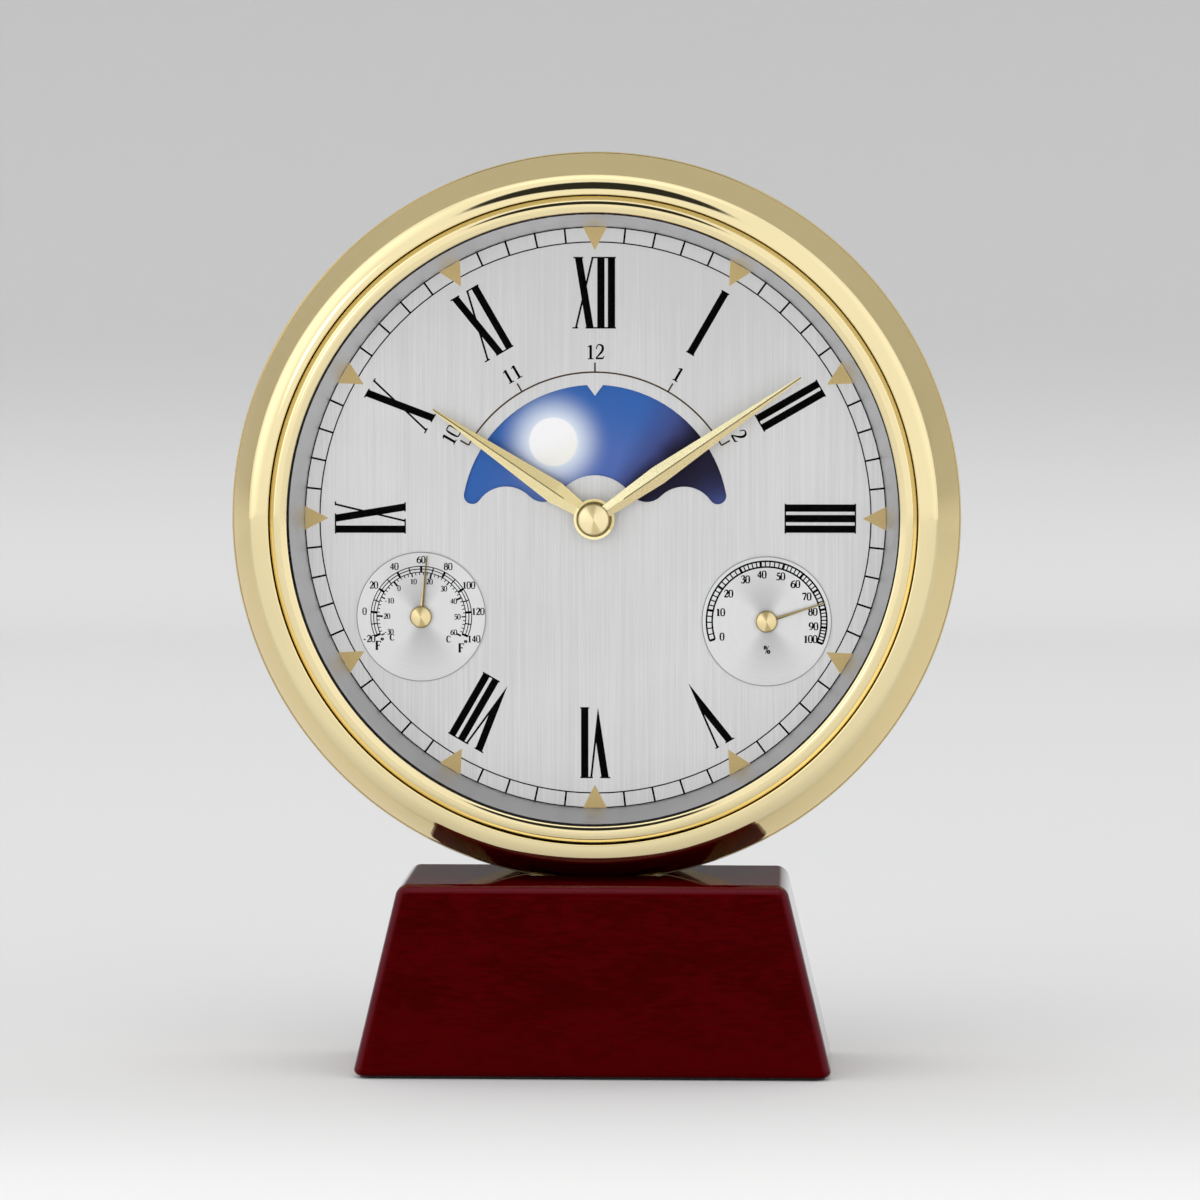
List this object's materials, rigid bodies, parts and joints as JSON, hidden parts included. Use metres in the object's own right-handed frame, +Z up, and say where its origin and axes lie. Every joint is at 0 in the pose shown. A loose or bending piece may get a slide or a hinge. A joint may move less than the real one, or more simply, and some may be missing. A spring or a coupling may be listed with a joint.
{
  "type": "moon phase desk clock",
  "caption": "Round gilt desk clock on a tapered lacquered wooden foot, with a moon disc aperture, thermometer and hygrometer in its silver dial.",
  "frame": {"origin": "centre of the underside of the felt, on the surface that the clock stands on", "axes": "+Z up, +Y away from the viewer so that the dial faces -Y, +X to the viewer's right"},
  "size_m": [0.16, 0.045, 0.2007],
  "materials": {
    "lacquered_wood": "dark red rosewood under high gloss lacquer",
    "felt": "black felt",
    "gilt": "polished gold plating",
    "gilt_hand": "satin gold plating",
    "crystal": "clear flat glass",
    "black_rubber": "matt",
    "satin_silver": "satin spun silver",
    "silver_dial": "vertically brushed silver, black print",
    "moon_print": "printed blue sky with two white moons",
    "steel": "bright steel",
    "zinc_screw": "zinc plated",
    "raw_brass": "machined brass",
    "black_plastic": "moulded",
    "grey_plastic": "moulded",
    "white_plastic": "moulded acetal",
    "bimetal": "rolled strip",
    "magnet": "sintered magnet",
    "iron_sheet": "stamped",
    "copper_wire": "enamelled copper",
    "circuit": "green solder mask",
    "battery_jacket": "plain printed jacket with a bright nub"
  },
  "bodies": {
    "case_body": {"back_cover": "black_plastic", "base_bolts": "zinc_screw", "base_washers": "zinc_screw", "battery_contacts": "steel", "bezel": "gilt", "bush_clip": "steel", "case_drum": "gilt", "case_screws": "zinc_screw", "circuit_board": "circuit", "coil_winding": "copper_wire", "cover_screws": "zinc_screw", "crystal": "crystal", "crystal_gasket": "black_rubber", "crystal_ring": "gilt", "day_wheel_stud": "steel", "dial_bush": "raw_brass", "dial_plate": "silver_dial", "dial_spacer": "black_plastic", "felt_pad": "felt", "hygrometer_coil": "bimetal", "hygrometer_cup": "raw_brass", "hygrometer_plate": "silver_dial", "moon_jumper": "steel", "movement_back_case": "black_plastic", "movement_front_plate": "black_plastic", "movement_nuts": "raw_brass", "movement_posts": "raw_brass", "nut_plate": "steel", "quartz_crystal": "steel", "slope_ring": "satin_silver", "stator": "iron_sheet", "thermometer_coil": "bimetal", "thermometer_cup": "raw_brass", "thermometer_plate": "silver_dial", "train_bridge": "grey_plastic", "wood_base": "lacquered_wood"},
    "minute_hand_body": {"minute_hand": "gilt_hand", "hand_cap": "gilt_hand", "centre_arbor": "steel"},
    "hour_hand_body": {"hour_hand": "gilt_hand", "hour_wheel": "white_plastic", "hour_pinion": "raw_brass"},
    "motion_wheel_body": {"motion_wheel": "white_plastic"},
    "set_knob_body": {"set_knob": "grey_plastic"},
    "day_wheel_body": {"day_wheel": "white_plastic"},
    "moon_body": {"moon_disc": "moon_print", "moon_star_wheel": "white_plastic"},
    "rotor_body": {"rotor": "magnet"},
    "step_wheel_body": {"step_wheel": "white_plastic"},
    "seconds_wheel_body": {"seconds_wheel": "white_plastic"},
    "third_wheel_body": {"third_wheel": "white_plastic"},
    "centre_wheel_body": {"centre_wheel": "white_plastic"},
    "thermometer_body": {"thermometer_arbor": "steel", "thermometer_pointer": "gilt_hand", "thermometer_cap": "gilt_hand"},
    "hygrometer_body": {"hygrometer_arbor": "steel", "hygrometer_pointer": "gilt_hand", "hygrometer_cap": "gilt_hand"},
    "battery_body": {"battery": "battery_jacket"}
  },
  "joints": [
    {"name": "minute_hand_turn", "type": "hinge", "parent": "case_body", "child": "minute_hand_body", "pos_m": [0, 0, 0.1207], "axis": [0, 1, 0], "continuous": true},
    {"name": "hour_hand_turn", "type": "hinge", "parent": "case_body", "child": "hour_hand_body", "pos_m": [0, 0, 0.1207], "axis": [0, 1, 0], "continuous": true},
    {"name": "motion_wheel_turn", "type": "hinge", "parent": "case_body", "child": "motion_wheel_body", "pos_m": [0.00639, 0, 0.12709], "axis": [0, 1, 0], "continuous": true},
    {"name": "set_knob_turn", "type": "hinge", "parent": "case_body", "child": "set_knob_body", "pos_m": [0.01489, 0, 0.13018], "axis": [0, 1, 0], "continuous": true},
    {"name": "day_wheel_turn", "type": "hinge", "parent": "case_body", "child": "day_wheel_body", "pos_m": [0, 0, 0.10866], "axis": [0, 1, 0], "continuous": true},
    {"name": "moon_disc_turn", "type": "hinge", "parent": "case_body", "child": "moon_body", "pos_m": [0, 0, 0.1207], "axis": [0, 1, 0], "continuous": true},
    {"name": "rotor_turn", "type": "hinge", "parent": "case_body", "child": "rotor_body", "pos_m": [0.00541, 0, 0.13815], "axis": [0, 1, 0], "continuous": true},
    {"name": "step_wheel_turn", "type": "hinge", "parent": "case_body", "child": "step_wheel_body", "pos_m": [-0.00163, 0, 0.13815], "axis": [0, 1, 0], "continuous": true},
    {"name": "seconds_wheel_turn", "type": "hinge", "parent": "case_body", "child": "seconds_wheel_body", "pos_m": [-0.0079, 0, 0.13453], "axis": [0, 1, 0], "continuous": true},
    {"name": "third_wheel_turn", "type": "hinge", "parent": "case_body", "child": "third_wheel_body", "pos_m": [-0.00939, 0, 0.12612], "axis": [0, 1, 0], "continuous": true},
    {"name": "centre_wheel_turn", "type": "hinge", "parent": "case_body", "child": "centre_wheel_body", "pos_m": [0, 0, 0.1207], "axis": [0, 1, 0], "continuous": true},
    {"name": "thermometer_swing", "type": "hinge", "parent": "case_body", "child": "thermometer_body", "pos_m": [-0.03804, 0, 0.09909], "axis": [0, 1, 0], "range_deg": [-118.5, 107]},
    {"name": "hygrometer_swing", "type": "hinge", "parent": "case_body", "child": "hygrometer_body", "pos_m": [0.03754, 0, 0.09823], "axis": [0, 1, 0], "range_deg": [-181, 40]},
    {"name": "battery_slide", "type": "slide", "parent": "case_body", "child": "battery_body", "axis": [0, 1, 0], "range_m": [0, 0.025]}
  ],
  "couplings": [
    {"joint": "hour_hand_turn", "follows": "minute_hand_turn", "ratio": 0.083333},
    {"joint": "motion_wheel_turn", "follows": "minute_hand_turn", "ratio": -0.33333},
    {"joint": "set_knob_turn", "follows": "minute_hand_turn", "ratio": 1},
    {"joint": "day_wheel_turn", "follows": "minute_hand_turn", "ratio": -0.041667},
    {"joint": "moon_disc_turn", "follows": "minute_hand_turn", "ratio": 0.00070621},
    {"joint": "step_wheel_turn", "follows": "rotor_turn", "ratio": -0.16667},
    {"joint": "seconds_wheel_turn", "follows": "rotor_turn", "ratio": 0.033333},
    {"joint": "third_wheel_turn", "follows": "rotor_turn", "ratio": -0.0044444},
    {"joint": "centre_wheel_turn", "follows": "rotor_turn", "ratio": 0.00055556}
  ]
}
